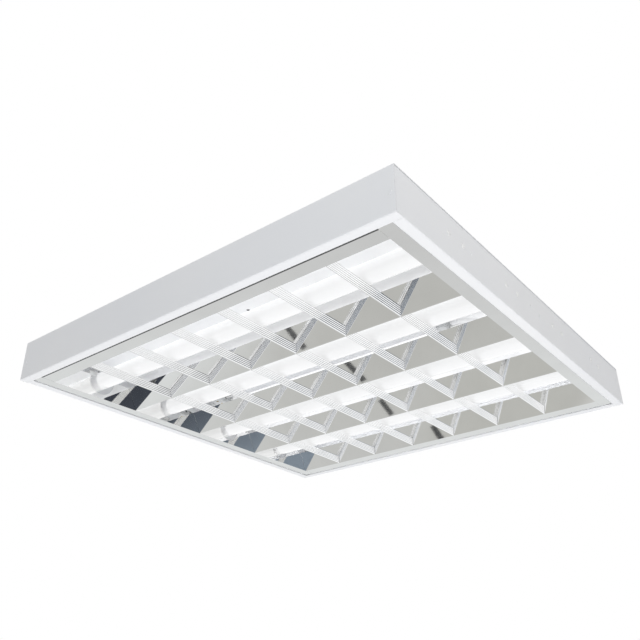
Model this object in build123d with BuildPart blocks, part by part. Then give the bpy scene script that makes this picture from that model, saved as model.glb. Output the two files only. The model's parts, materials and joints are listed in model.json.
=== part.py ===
from build123d import *
import os

# Recessed troffer light with four tubes behind a mirror louvre. Sizes are in mm.
# X runs along the tubes, Y across them and +Z up into the ceiling. The origin is the
# middle of the flange's underside, which is the face that looks down into the room.

# ---- driving dimensions: sheet steel body ----
body_length = 620.0  # over the end walls
body_width = 620.0  # over the side walls
body_height = 58.0
sheet = 0.8
fold_radius = 1.8  # outside of every fold
flange_width = 12.0  # turned in under the walls
seam_gap = 0.2  # between sheets that meet
end_tab_length = 14.0
end_tab_margin = 3.0  # from the flange and from the back
wall_slot_width = 1.2
wall_slot_height = 4.5
wall_slot_places = [(-161.0, 29.0), (-9.0, 31.0), (16.0, 28.0)]  # across and up, in an end wall
rivet_radius = 1.6
rivet_head_radius = 2.6
rivet_height = 25.0
rivet_inset = 6.0  # from the end wall's face
rivet_head_rise = 0.5
rivet_taper = 35.0  # degrees
fixing_hole_radius = 2.6
fixing_hole_inset = 126.0  # from the side walls

# ---- driving dimensions: tubes ----
lamp_count = 4
lamp_height = 28.0  # axis over the flange's underside
tube_radius = 13.0
glass = 0.8
cap_length = 18.0
cap_radius = 12.7
cap_wall = 0.5
cap_face_thickness = 1.6
cap_edge_radius = 2.4
neck_length = 9.0  # glass drawn in under the cap
neck_gap = 0.1
pin_radius = 1.2
pin_spacing = 12.7
pin_length = 7.1
pin_root = 1.2  # inside the cap's face

# ---- driving dimensions: lampholders ----
holder_depth = 14.0
holder_half_width = 12.4
holder_top_gap = 11.2  # to the back
holder_face_gap = 0.3  # to the cap
holder_edge_radius = 1.2
rotor_radius = 8.5
rotor_thickness = 8.0
rotor_floor = 0.8  # left behind the pin slot
rotor_gap = 0.08
rotor_end_gap = 0.3
pin_slot_gap = 0.15
peg_spacing = 30.0
peg_offset = 6.0  # of the pair from the tube's axis
peg_lift = 2.5  # of the pair over the tube's axis
peg_radius = 1.7
peg_gap = 0.1
peg_head_radius = 3.2
peg_head_rise = 1.3
peg_taper = 55.0  # degrees
peg_lug_thickness = 2.0
peg_lug_radius = 4.5

# ---- driving dimensions: louvre ----
louvre_sheet = 0.5
louvre_lift = 1.0  # its lowest face over the flange's underside
louvre_height = 32.0  # top of the long blades over the flange's underside
louvre_edge_gap = 1.0  # to the flange all round
end_strip_width = 17.0
side_strip_width = 22.0
skirt_height = 6.0
spine_half_foot = 0.6
spine_half_top = 17.3
spine_wall_across = 0.6  # the sheet measured level, along its sloping top edge
lamp_notch_radius = 21.0
louvre_joint_gap = 0.2
outer_channel_extra = 9.0  # how much wider the outer tubes' channels are than the inner ones
cross_blade_count = 6
cross_blade_height = 10.5
cross_blade_half_foot = 0.6
cross_blade_half_top = 4.3
cross_blade_ribs = 5
rib_depth = 0.3
corner_plate_length = 26.0
corner_plate_width = 12.0
corner_plate_thickness = 0.8

# ---- driving dimensions: louvre hinge and catches ----
hinge_edge_distance = 5.0  # from the louvre's edge to the pivot
hinge_height = 4.6
hinge_pin_radius = 1.5
hinge_pin_gap = 0.06
hinge_head_radius = 2.6
hinge_head_thickness = 1.2
hinge_ear_radius = 3.6
hinge_ear_thickness = 1.2
hinge_ear_gap = 2.0  # from the louvre's skirt
hinge_foot_length = 6.0
catch_width = 20.0
catch_inset = 130.0  # from the end walls
catch_sheet = 0.5
catch_gap = 0.3
catch_top = 26.0
catch_bend = 11.0  # height where the spring leaves the wall
catch_reach_height = 5.0
catch_toe_height = 1.6
catch_toe_return = 3.0
catch_fold_radius = 1.2

# ---- driving dimensions: ballast ----
ballast_width = 30.0
ballast_louvre_gap = 4.2  # over the long blades
ballast_sheet = 0.7
ballast_ear_length = 20.0
ballast_ear_screw_inset = 4.5
ballast_corner_radius = 1.5
connector_length = 11.0
connector_width = 24.0
connector_height = 12.0
connector_ways = 5
wire_hole_radius = 1.1
wire_hole_depth = 4.0
screw_radius = 1.9
screw_gap = 0.1
screw_head_radius = 3.6
screw_head_thickness = 2.2

# ---- driving dimensions: supply side ----
terminal_inset = 78.0  # of its middle from the end wall
terminal_length = 18.0
terminal_width = 30.0
terminal_height = 15.0
terminal_ways = 3
terminal_mouth_radius = 2.2
terminal_screw_radius = 2.0
terminal_screw_thickness = 1.2
terminal_slot_width = 0.7
supply_gap = 32.0  # between the terminal block and the ballast's connector
entry_inset = 40.0  # of its middle from the end wall
entry_length = 34.0
entry_width = 44.0
entry_lip = 3.0
entry_plate = 1.8
entry_radius = 10.0
entry_collar_wall = 1.6
entry_collar_height = 8.0
earth_y = -40.0
earth_stud_radius = 2.0
earth_stud_length = 10.0
earth_nut_across = 7.0
earth_nut_height = 3.2
earth_lug_radius = 4.0
earth_lug_thickness = 0.8
earth_lug_length = 12.0
earth_lug_neck = 2.4
earth_wire_reach = 8.0

# ---- driving dimensions: wiring ----
lead_radius = 0.8
bundle_radius = 2.0
bundle_inset = 24.0  # of the cross bundle from the end wall's face
bundle_drop = 6.7  # of its middle under the back
bundle_spare = 5.0  # past the outer lampholders
trunk_bend_radius = 8.0
lead_bend_radius = 3.0
lead_pair_spacing = 6.0
supply_wire_reach = 4.0
trunk_offset = 28.0  # from the centre line, past the terminal block and the cable entry
trunk_straight = 10.0
trunk_shift = 22.0
clip_length = 6.0
clip_wall = 1.4
clip_gap = 0.05
wire_gap = 0.1  # between a wire and the bundle it leaves

# ---- sizes that follow ----
wall_inside_x = body_length / 2 - sheet
wall_inside_y = body_width / 2 - sheet
back_inside = body_height - sheet
opening_half_x = body_length / 2 - flange_width
opening_half_y = body_width / 2 - flange_width
louvre_half_x = opening_half_x - louvre_edge_gap
louvre_half_y = opening_half_y - louvre_edge_gap
bay_half_x = louvre_half_x - end_strip_width
bay_half_y = louvre_half_y - side_strip_width
long_piece_half = bay_half_x - louvre_joint_gap  # of the long blades and side reflectors
through_cut = 3 * sheet  # deep enough for a hole through one sheet
holder_face = wall_inside_x - holder_depth
holder_rise = back_inside - lamp_height - holder_top_gap  # above the tube's axis
cap_face = holder_face - holder_face_gap  # a standard tube: 589.8 between its cap faces
lamp_pitch = 2 * (bay_half_y - outer_channel_extra) / lamp_count
lamp_places = [(number - (lamp_count - 1) / 2) * lamp_pitch for number in range(lamp_count)]
spine_places = [(low + high) / 2 for low, high in zip(lamp_places, lamp_places[1:])]
cross_blade_pitch = 2 * bay_half_x / (cross_blade_count + 1)
blade_places = [
    (number - (cross_blade_count - 1) / 2) * cross_blade_pitch for number in range(cross_blade_count)
]
rivet_x = body_length / 2 - rivet_inset
rivet_places = [(side_x * rivet_x, side_y) for side_x in (-1, 1) for side_y in (-1, 1)]
fixing_hole_y = body_width / 2 - fixing_hole_inset
hinge_y = louvre_half_y - hinge_edge_distance
terminal_centre = -(body_length / 2 - terminal_inset)  # along X
entry_centre = -(body_length / 2 - entry_inset)  # along X
earth_x = terminal_centre
terminal_reach = abs(terminal_centre) - terminal_length / 2
ballast_length = 2 * (terminal_reach - supply_gap - connector_length)
ballast_height = back_inside - louvre_height - ballast_louvre_gap
ballast_bottom = back_inside - ballast_height
ear_half = ballast_length / 2 + ballast_ear_length
ear_screw_x = ear_half - ballast_ear_screw_inset
terminal_bottom = back_inside - terminal_height
bundle_x = body_length / 2 - bundle_inset
bundle_height = back_inside - bundle_drop
catch_distance = body_length / 2 - catch_inset
sides = {"east": 1, "west": -1}
# rectangles that grow away from the middle of the body, or towards it
outward = {1: Align.MIN, -1: Align.MAX}
inward = {1: Align.MAX, -1: Align.MIN}

os.makedirs("parts", exist_ok=True)


def flared_outline(middle, half_foot, half_top, foot, top):
    """A face with two straight flanks, narrow at its foot and widest at its top."""
    with BuildSketch() as outline:
        with BuildLine():
            Polyline(
                (middle - half_foot, foot),
                (middle + half_foot, foot),
                (middle + half_top, top),
                (middle - half_top, top),
                close=True,
            )
        make_face()
    return outline.sketch


def wire_along(points, radius, bend_radius):
    """A round wire that follows straight runs with one bend radius."""
    with BuildPart() as wire:
        with BuildLine() as route:
            FilletPolyline(*points, radius=bend_radius)
        with BuildSketch(Plane(origin=route.line @ 0, z_dir=route.line % 0)):
            Circle(radius)
        sweep(path=route.line)
    return wire.part


# ---- housing: back, side walls and side flanges are one folded sheet ----
with BuildPart() as housing_tray:
    with BuildSketch(Plane.YZ.offset(-body_length / 2)):
        with BuildLine():
            FilletPolyline(
                (-opening_half_y, 0),
                (-body_width / 2, 0),
                (-body_width / 2, body_height),
                (body_width / 2, body_height),
                (body_width / 2, 0),
                (opening_half_y, 0),
                radius=fold_radius,
            )
            offset(amount=sheet, side=Side.RIGHT)
        make_face()
    extrude(amount=body_length)
    # ceiling fixing holes on the cross centre line
    with Locations((0, -fixing_hole_y, body_height), (0, fixing_hole_y, body_height)):
        Hole(fixing_hole_radius, depth=2 * sheet)
    # opening that the cable entry plate closes from inside
    with BuildSketch(Plane.XY.offset(back_inside - sheet)):
        with Locations((entry_centre, 0)):
            Rectangle(entry_length - 2 * entry_lip, entry_width - 2 * entry_lip)
    extrude(amount=through_cut, mode=Mode.SUBTRACT)
    # ballast screws
    with Locations((-ear_screw_x, 0, body_height), (ear_screw_x, 0, body_height)):
        Hole(screw_radius + screw_gap, depth=2 * sheet)
    # rivets through the side walls
    with BuildSketch(Plane.XZ):
        with Locations((-rivet_x, rivet_height), (rivet_x, rivet_height)):
            Circle(rivet_radius + screw_gap)
    extrude(amount=body_width, both=True, mode=Mode.SUBTRACT)
housing_tray.part.label = "housing_tray"
export_step(housing_tray.part, "parts/housing_tray.step")

# ---- end walls: a folded sheet with a flange, a top tab and two corner tabs ----
with BuildPart() as end_plate:
    with BuildSketch(Plane.XZ.offset(-(wall_inside_y - seam_gap))):
        with BuildLine():
            FilletPolyline(
                (opening_half_x, 0),
                (body_length / 2, 0),
                (body_length / 2, back_inside - seam_gap),
                (body_length / 2 - end_tab_length, back_inside - seam_gap),
                radius=fold_radius,
            )
            offset(amount=sheet, side=Side.LEFT)
        make_face()
    extrude(amount=2 * (wall_inside_y - seam_gap))
    # the wall fits inside the tray's folds and its flange butts between the side flanges
    with BuildSketch(Plane.YZ.offset(body_length / 2 - end_tab_length)):
        with Locations((0, sheet + seam_gap)):
            RectangleRounded(
                2 * (wall_inside_y - seam_gap),
                back_inside - sheet - 2 * seam_gap,
                fold_radius - sheet + seam_gap,
                align=(Align.CENTER, Align.MIN),
            )
        Rectangle(2 * (opening_half_y - seam_gap), 2 * fold_radius, align=(Align.CENTER, Align.MIN))
    extrude(amount=end_tab_length, mode=Mode.INTERSECT)
    # corner tabs lie against the side walls
    with BuildSketch(Plane.XY.offset(sheet + end_tab_margin)):
        for side_y in (-1, 1):
            with Locations((wall_inside_x, side_y * (wall_inside_y - seam_gap))):
                Rectangle(end_tab_length, sheet, align=(Align.MAX, inward[side_y]))
    extrude(amount=back_inside - sheet - 2 * end_tab_margin - seam_gap)
    with BuildSketch(Plane.XZ):
        with Locations((rivet_x, rivet_height)):
            Circle(rivet_radius + screw_gap)
    extrude(amount=body_width, both=True, mode=Mode.SUBTRACT)
    # small upright slots between the tubes
    with BuildSketch(Plane.YZ.offset(wall_inside_x - sheet)):
        with Locations(*wall_slot_places):
            Rectangle(wall_slot_width, wall_slot_height)
    extrude(amount=through_cut, mode=Mode.SUBTRACT)
    # pairs of holes for the lampholders' pegs
    with BuildSketch(Plane.YZ.offset(wall_inside_x - sheet)):
        for lamp_y in lamp_places:
            with Locations((lamp_y + peg_offset, lamp_height + peg_lift)):
                with GridLocations(peg_spacing, 0, 2, 1):
                    Circle(peg_radius + peg_gap)
    extrude(amount=through_cut, mode=Mode.SUBTRACT)
end_plate_turns = {"east": 0, "west": 180}
for side, turn in end_plate_turns.items():
    with BuildPart() as end_plate_turned:
        add(end_plate.part, rotation=(0, 0, turn))
    end_plate_turned.part.label = f"end_plate_{side}"
    export_step(end_plate_turned.part, f"parts/end_plate_{side}.step")

# ---- rivets that hold the end walls' tabs to the side walls ----
with BuildPart() as body_rivets:
    for across_x, side_y in rivet_places:
        outside = Plane(origin=(across_x, side_y * body_width / 2, rivet_height), z_dir=(0, side_y, 0))
        with BuildSketch(outside):
            Circle(rivet_head_radius)
        extrude(amount=rivet_head_rise, taper=rivet_taper)
        with BuildSketch(outside):
            Circle(rivet_radius)
        extrude(amount=-(2 * sheet + seam_gap))
        with BuildSketch(outside.offset(-(2 * sheet + seam_gap))):
            Circle(rivet_head_radius)
        extrude(amount=-rivet_head_rise)
body_rivets.part.label = "body_rivets"
export_step(body_rivets.part, "parts/body_rivets.step")

# ---- lampholders: a bracket-shaped block with a round rotor pocket and a slot below it ----
slot_half_width = pin_radius + pin_slot_gap
for side, toward in sides.items():
    for number, lamp_y in enumerate(lamp_places, start=1):
        face = Plane(
            origin=(toward * holder_face, lamp_y, lamp_height), x_dir=(0, 1, 0), z_dir=(toward, 0, 0)
        )
        up = toward  # local y points up on one side and down on the other
        with BuildPart() as lampholder:
            with BuildSketch(face):
                Circle(holder_half_width)
                with Locations((0, up * holder_rise / 2)):
                    Rectangle(2 * holder_half_width, holder_rise)
            extrude(amount=holder_depth)
            front_edges = lampholder.faces().sort_by(Axis.X)[0 if toward > 0 else -1].edges()
            fillet(front_edges, holder_edge_radius)
            with BuildSketch(face.offset(holder_depth - peg_lug_thickness)):
                with Locations((toward * peg_offset, up * peg_lift)):
                    SlotCenterToCenter(peg_spacing, 2 * peg_lug_radius)
            extrude(amount=peg_lug_thickness)
            with BuildSketch(face):
                Circle(rotor_radius + rotor_gap)
                with Locations((0, -up * holder_half_width)):
                    Rectangle(2 * slot_half_width, 2 * holder_half_width)
            extrude(amount=rotor_thickness + rotor_end_gap, mode=Mode.SUBTRACT)
            with BuildSketch(face.offset(holder_depth)):
                with Locations((toward * peg_offset, up * peg_lift)):
                    with GridLocations(peg_spacing, 0, 2, 1):
                        Circle(peg_radius)
            extrude(amount=sheet)
            with BuildSketch(face.offset(holder_depth + sheet)):
                with Locations((toward * peg_offset, up * peg_lift)):
                    with GridLocations(peg_spacing, 0, 2, 1):
                        Circle(peg_head_radius)
            extrude(amount=peg_head_rise, taper=peg_taper)
        lampholder.part.label = f"lampholder_{side}_{number}"
        export_step(lampholder.part, f"parts/lampholder_{side}_{number}.step")

# ---- tubes with their caps, pins and the lampholder rotors that turn with them ----
glass_half = cap_face - cap_length
neck_half = glass_half + neck_length
neck_radius = cap_radius - cap_wall - neck_gap
for number, lamp_y in enumerate(lamp_places, start=1):
    lamp_plane = Plane(origin=(0, lamp_y, lamp_height), x_dir=(1, 0, 0), z_dir=(0, -1, 0))
    with BuildPart() as lamp_tube:
        with BuildSketch(lamp_plane):
            with BuildLine():
                Polyline(
                    (-neck_half, neck_radius - glass),
                    (-neck_half, neck_radius),
                    (-glass_half + glass, neck_radius),
                    (-glass_half + glass, tube_radius),
                    (glass_half - glass, tube_radius),
                    (glass_half - glass, neck_radius),
                    (neck_half, neck_radius),
                    (neck_half, neck_radius - glass),
                    close=True,
                )
            make_face()
        revolve(axis=Axis((0, lamp_y, lamp_height), (1, 0, 0)))
    lamp_tube.part.label = f"lamp_{number}_tube"
    export_step(lamp_tube.part, f"parts/lamp_{number}_tube.step")

    with BuildPart() as lamp_caps:
        for toward in sides.values():
            inner = Plane(origin=(toward * glass_half, lamp_y, lamp_height), z_dir=(toward, 0, 0))
            with BuildSketch(inner):
                Circle(cap_radius)
            extrude(amount=cap_length)
            outer_face = lamp_caps.faces().sort_by(Axis.X)[-1 if toward > 0 else 0]
            fillet(outer_face.edges(), cap_edge_radius)
            with BuildSketch(inner):
                Circle(cap_radius - cap_wall)
            extrude(amount=cap_length - cap_face_thickness, mode=Mode.SUBTRACT)
            with BuildSketch(inner.offset(cap_length - cap_face_thickness)):
                with Locations((0, pin_spacing / 2), (0, -pin_spacing / 2)):
                    Circle(pin_radius)
            extrude(amount=cap_face_thickness, mode=Mode.SUBTRACT)
    lamp_caps.part.label = f"lamp_{number}_caps"
    export_step(lamp_caps.part, f"parts/lamp_{number}_caps.step")

    with BuildPart() as lamp_pins:
        for toward in sides.values():
            root = toward * (cap_face - cap_face_thickness - pin_root)
            with BuildSketch(Plane(origin=(root, lamp_y, lamp_height), z_dir=(toward, 0, 0))):
                with Locations((0, pin_spacing / 2), (0, -pin_spacing / 2)):
                    Circle(pin_radius)
            extrude(amount=pin_root + cap_face_thickness + pin_length)
    lamp_pins.part.label = f"lamp_{number}_pins"
    export_step(lamp_pins.part, f"parts/lamp_{number}_pins.step")

    with BuildPart() as lamp_rotors:
        for toward in sides.values():
            face = Plane(origin=(toward * holder_face, lamp_y, lamp_height), z_dir=(toward, 0, 0))
            with BuildSketch(face):
                Circle(rotor_radius)
            extrude(amount=rotor_thickness)
            with BuildSketch(face):
                Rectangle(2 * slot_half_width, 2 * rotor_radius + 2 * rotor_gap)
            extrude(amount=rotor_thickness - rotor_floor, mode=Mode.SUBTRACT)
    lamp_rotors.part.label = f"lamp_{number}_rotors"
    export_step(lamp_rotors.part, f"parts/lamp_{number}_rotors.step")

# ---- louvre: end pieces, a strip with an upturned skirt and a notched mirror wall ----
louvre_top_inside = louvre_lift + louvre_sheet
inner_side = {1: Side.LEFT, -1: Side.RIGHT}
for side, toward in sides.items():
    with BuildPart() as louvre_end:
        with BuildSketch(Plane.XZ.offset(-louvre_half_y)):
            with BuildLine():
                Polyline(
                    (toward * bay_half_x, louvre_height),
                    (toward * bay_half_x, louvre_lift),
                    (toward * louvre_half_x, louvre_lift),
                    (toward * louvre_half_x, louvre_lift + skirt_height),
                )
                offset(amount=louvre_sheet, side=inner_side[toward], kind=Kind.INTERSECTION)
            make_face()
        extrude(amount=2 * louvre_half_y)
        # notches that straddle the tubes and open upwards
        with BuildSketch(Plane.YZ):
            for lamp_y in lamp_places:
                with Locations((lamp_y, lamp_height)):
                    Circle(lamp_notch_radius)
                with Locations((lamp_y, louvre_height)):
                    Rectangle(2 * lamp_notch_radius, 2 * (louvre_height - lamp_height))
        extrude(amount=toward * (bay_half_x + end_strip_width / 2), mode=Mode.SUBTRACT)
        # the mirror wall runs only between the side reflectors
        with BuildSketch(Plane.XY.offset(louvre_top_inside)):
            for side_y in (-1, 1):
                with Locations((toward * bay_half_x, side_y * bay_half_y)):
                    Rectangle(end_strip_width, side_strip_width, align=(Align.CENTER, outward[side_y]))
        extrude(amount=louvre_height, mode=Mode.SUBTRACT)
        with BuildSketch(Plane.YZ.offset(toward * (louvre_half_x - 2 * louvre_sheet))):
            with Locations((hinge_y, hinge_height)):
                Circle(hinge_pin_radius)
        extrude(amount=toward * 3 * louvre_sheet, mode=Mode.SUBTRACT)
    louvre_end.part.label = f"louvre_end_{side}"
    export_step(louvre_end.part, f"parts/louvre_end_{side}.step")

# ---- louvre: side reflectors, half a long blade joined to a strip with a skirt ----
lean = spine_half_top - spine_half_foot
for side, toward in {"north": 1, "south": -1}.items():
    with BuildPart() as louvre_side:
        with BuildSketch(Plane.YZ.offset(-long_piece_half)):
            with BuildLine():
                Polyline(
                    (toward * (bay_half_y - lean), louvre_height),
                    (toward * bay_half_y, louvre_lift),
                    (toward * louvre_half_y, louvre_lift),
                    (toward * louvre_half_y, louvre_lift + skirt_height),
                )
                offset(amount=louvre_sheet, side=inner_side[toward], kind=Kind.INTERSECTION)
            make_face()
        extrude(amount=2 * long_piece_half)
    louvre_side.part.label = f"louvre_side_{side}"
    export_step(louvre_side.part, f"parts/louvre_side_{side}.step")

# ---- louvre: long blades, folded to a hollow V with flat flanks ----
for number, spine_y in enumerate(spine_places, start=1):
    with BuildPart() as louvre_spine:
        with BuildSketch(Plane.YZ.offset(-long_piece_half)):
            outside = flared_outline(
                spine_y, spine_half_foot, spine_half_top, louvre_lift, louvre_height
            )
            inside = flared_outline(
                spine_y,
                spine_half_foot / 2,
                spine_half_top - spine_wall_across,
                louvre_lift + 2 * louvre_sheet,
                louvre_height,
            )
            add(outside)
            add(inside, mode=Mode.SUBTRACT)
        extrude(amount=2 * long_piece_half)
    louvre_spine.part.label = f"louvre_spine_{number}"
    export_step(louvre_spine.part, f"parts/louvre_spine_{number}.step")

# ---- louvre: ribbed cross blades, one short piece in each channel under its tube ----
blade_top = louvre_lift + cross_blade_height
rib_pitch = cross_blade_height / cross_blade_ribs
rib_lean = (cross_blade_half_top - cross_blade_half_foot) / cross_blade_ribs


def wall_ribs(side_x, first_rib, wall):
    """Start, crest and end of each rib of one wall, from a rib up, moved towards the middle by a wall."""
    ribs = []
    for rib in range(first_rib, cross_blade_ribs):
        foot_x = cross_blade_half_foot + rib * rib_lean - wall
        foot_z = louvre_lift + rib * rib_pitch
        start = (side_x * foot_x, foot_z)
        crest = (side_x * (foot_x + rib_lean / 2 + rib_depth), foot_z + rib_pitch / 2)
        end = (side_x * (foot_x + rib_lean), foot_z + rib_pitch)
        ribs.append((start, crest, end))
    return ribs


inner_half_top = cross_blade_half_top - louvre_sheet
with BuildSketch() as ribbed_section:
    with BuildLine():
        Line((-cross_blade_half_foot, louvre_lift), (cross_blade_half_foot, louvre_lift))
        for side_x in (-1, 1):
            for start, crest, end in wall_ribs(side_x, 0, 0):
                ThreePointArc(start, crest, end)
        Line((-cross_blade_half_top, blade_top), (cross_blade_half_top, blade_top))
    make_face()
    with BuildLine():
        for side_x in (-1, 1):
            inner_ribs = wall_ribs(side_x, 1, louvre_sheet)
            Line((0, louvre_lift + 2 * louvre_sheet), inner_ribs[0][0])
            for start, crest, end in inner_ribs:
                ThreePointArc(start, crest, end)
        Line((-inner_half_top, blade_top), (inner_half_top, blade_top))
    make_face(mode=Mode.SUBTRACT)

for number, blade_x in enumerate(blade_places, start=1):
    with BuildPart() as cross_blades:
        # the space across the louvre that the long blades and side reflectors leave
        with BuildSketch(Plane.YZ.offset(blade_x - cross_blade_half_top)):
            with Locations((0, louvre_lift)):
                Rectangle(2 * bay_half_y, cross_blade_height, align=(Align.CENTER, Align.MIN))
            for edge_y in [-bay_half_y, *spine_places, bay_half_y]:
                flank_space = flared_outline(
                    edge_y,
                    spine_half_foot + louvre_joint_gap,
                    spine_half_top + louvre_joint_gap,
                    louvre_lift,
                    louvre_height,
                )
                add(flank_space, mode=Mode.SUBTRACT)
        extrude(amount=2 * cross_blade_half_top)
        with BuildSketch(Plane.XZ.offset(-bay_half_y)):
            with Locations((blade_x, 0)):
                add(ribbed_section.sketch)
        extrude(amount=2 * bay_half_y, mode=Mode.INTERSECT)
    cross_blades.part.label = f"cross_blades_{number}"
    export_step(cross_blades.part, f"parts/cross_blades_{number}.step")

# ---- louvre: plates that tie the strips together at the corners ----
with BuildPart() as louvre_corner_plates:
    with BuildSketch(Plane.XY.offset(louvre_top_inside)):
        with GridLocations(2 * bay_half_x, 2 * (bay_half_y + side_strip_width / 2), 2, 2):
            Rectangle(corner_plate_length, corner_plate_width)
    extrude(amount=corner_plate_thickness)
louvre_corner_plates.part.label = "louvre_corner_plates"
export_step(louvre_corner_plates.part, "parts/louvre_corner_plates.step")

# ---- hinge: two pins on the louvre in two ears on the end flanges ----
ear_x = louvre_half_x + hinge_ear_gap
with BuildPart() as hinge_pins:
    for toward in sides.values():
        head_x = toward * (louvre_half_x - louvre_sheet - hinge_head_thickness)
        head_plane = Plane(origin=(head_x, hinge_y, hinge_height), z_dir=(toward, 0, 0))
        with BuildSketch(head_plane):
            Circle(hinge_head_radius)
        extrude(amount=hinge_head_thickness)
        with BuildSketch(head_plane):
            Circle(hinge_pin_radius)
        extrude(amount=ear_x + hinge_ear_thickness + hinge_head_thickness - abs(head_x))
hinge_pins.part.label = "hinge_pins"
export_step(hinge_pins.part, "parts/hinge_pins.step")

with BuildPart() as hinge_brackets:
    for toward in sides.values():
        with BuildSketch(Plane.YZ.offset(toward * ear_x)):
            with Locations((hinge_y, hinge_height)):
                Circle(hinge_ear_radius)
            with Locations((hinge_y, sheet)):
                Rectangle(2 * hinge_ear_radius, hinge_height - sheet, align=(Align.CENTER, Align.MIN))
            with Locations((hinge_y, hinge_height)):
                Circle(hinge_pin_radius + hinge_pin_gap, mode=Mode.SUBTRACT)
        extrude(amount=toward * hinge_ear_thickness)
        with BuildSketch(Plane.XY.offset(sheet)):
            with Locations((toward * ear_x, hinge_y)):
                Rectangle(hinge_foot_length, 2 * hinge_ear_radius, align=(outward[toward], Align.CENTER))
        extrude(amount=hinge_ear_thickness)
hinge_brackets.part.label = "hinge_brackets"
export_step(hinge_brackets.part, "parts/hinge_brackets.step")

# ---- catches: leaf springs on the side wall that grip the louvre's skirt ----
with BuildPart() as catch_springs:
    for catch_x in (-catch_distance, catch_distance):
        with BuildSketch(Plane.YZ.offset(catch_x - catch_width / 2)):
            with BuildLine():
                FilletPolyline(
                    (-wall_inside_y, catch_top),
                    (-wall_inside_y, catch_bend),
                    (-louvre_half_y - catch_gap, catch_reach_height),
                    (-louvre_half_y - catch_gap - catch_toe_return, catch_toe_height),
                    radius=catch_fold_radius,
                )
                offset(amount=catch_sheet, side=Side.LEFT)
            make_face()
        extrude(amount=catch_width)
catch_springs.part.label = "catch_springs"
export_step(catch_springs.part, "parts/catch_springs.step")

# ---- ballast: base plate with ears, folded cover, push-in connectors and screws ----
with BuildPart() as ballast_base:
    with BuildSketch(Plane.XY.offset(back_inside - ballast_sheet)):
        RectangleRounded(2 * ear_half, ballast_width, ballast_corner_radius)
        with GridLocations(2 * ear_screw_x, 0, 2, 1):
            Circle(screw_radius + screw_gap, mode=Mode.SUBTRACT)
    extrude(amount=ballast_sheet)
ballast_base.part.label = "ballast_base"
export_step(ballast_base.part, "parts/ballast_base.step")

cover_top = back_inside - ballast_sheet
with BuildPart() as ballast_cover:
    with BuildSketch(Plane.XY.offset(ballast_bottom)):
        RectangleRounded(ballast_length, ballast_width, ballast_corner_radius)
    extrude(amount=cover_top - ballast_bottom)
    with BuildSketch(Plane.XY.offset(ballast_bottom + ballast_sheet)):
        Rectangle(ballast_length - 2 * ballast_sheet, ballast_width - 2 * ballast_sheet)
    extrude(amount=cover_top - ballast_bottom - ballast_sheet, mode=Mode.SUBTRACT)
ballast_cover.part.label = "ballast_cover"
export_step(ballast_cover.part, "parts/ballast_cover.step")

connector_z = ballast_bottom + ballast_height / 2
way_spacing = connector_width / connector_ways
with BuildPart() as ballast_connectors:
    for toward in sides.values():
        wall = Plane(
            origin=(toward * ballast_length / 2, 0, connector_z), x_dir=(0, 1, 0), z_dir=(toward, 0, 0)
        )
        with BuildSketch(wall):
            Rectangle(connector_width, connector_height)
        extrude(amount=connector_length)
        with BuildSketch(wall.offset(connector_length)):
            with GridLocations(way_spacing, 0, connector_ways, 1):
                Circle(wire_hole_radius)
        extrude(amount=-wire_hole_depth, mode=Mode.SUBTRACT)
ballast_connectors.part.label = "ballast_connectors"
export_step(ballast_connectors.part, "parts/ballast_connectors.step")

with BuildPart() as ballast_screws:
    for screw_x in (-ear_screw_x, ear_screw_x):
        with BuildSketch(Plane(origin=(screw_x, 0, cover_top), z_dir=(0, 0, -1))):
            Circle(screw_head_radius)
        extrude(amount=screw_head_thickness)
        with BuildSketch(Plane(origin=(screw_x, 0, cover_top), z_dir=(0, 0, 1))):
            Circle(screw_radius)
        extrude(amount=body_height - cover_top)
ballast_screws.part.label = "ballast_screws"
export_step(ballast_screws.part, "parts/ballast_screws.step")

# ---- supply terminal block and its clamp screws ----
terminal_way = terminal_width / terminal_ways
with BuildPart() as terminal_block:
    with BuildSketch(Plane.XY.offset(terminal_bottom)):
        with Locations((terminal_centre, 0)):
            Rectangle(terminal_length, terminal_width)
    extrude(amount=terminal_height)
    for mouth_side in (-1, 1):
        with BuildSketch(Plane.YZ.offset(terminal_centre + mouth_side * terminal_length / 2)):
            with Locations((0, terminal_bottom + terminal_height / 2)):
                with GridLocations(terminal_way, 0, terminal_ways, 1):
                    Circle(terminal_mouth_radius)
        extrude(amount=-mouth_side * wire_hole_depth, mode=Mode.SUBTRACT)
    with BuildSketch(Plane(origin=(terminal_centre, 0, terminal_bottom), z_dir=(0, 0, -1))):
        with GridLocations(0, terminal_way, 1, terminal_ways):
            Circle(terminal_screw_radius)
    extrude(amount=-terminal_screw_thickness, mode=Mode.SUBTRACT)
terminal_block.part.label = "terminal_block"
export_step(terminal_block.part, "parts/terminal_block.step")

with BuildPart() as terminal_screws:
    with BuildSketch(Plane.XY.offset(terminal_bottom)):
        with Locations((terminal_centre, 0)):
            with GridLocations(0, terminal_way, 1, terminal_ways):
                Circle(terminal_screw_radius)
    extrude(amount=terminal_screw_thickness)
    with BuildSketch(Plane.XY.offset(terminal_bottom)):
        with Locations((terminal_centre, 0)):
            with GridLocations(0, terminal_way, 1, terminal_ways):
                Rectangle(2 * terminal_screw_radius, terminal_slot_width)
    extrude(amount=terminal_screw_thickness / 2, mode=Mode.SUBTRACT)
terminal_screws.part.label = "terminal_screws"
export_step(terminal_screws.part, "parts/terminal_screws.step")

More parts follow.
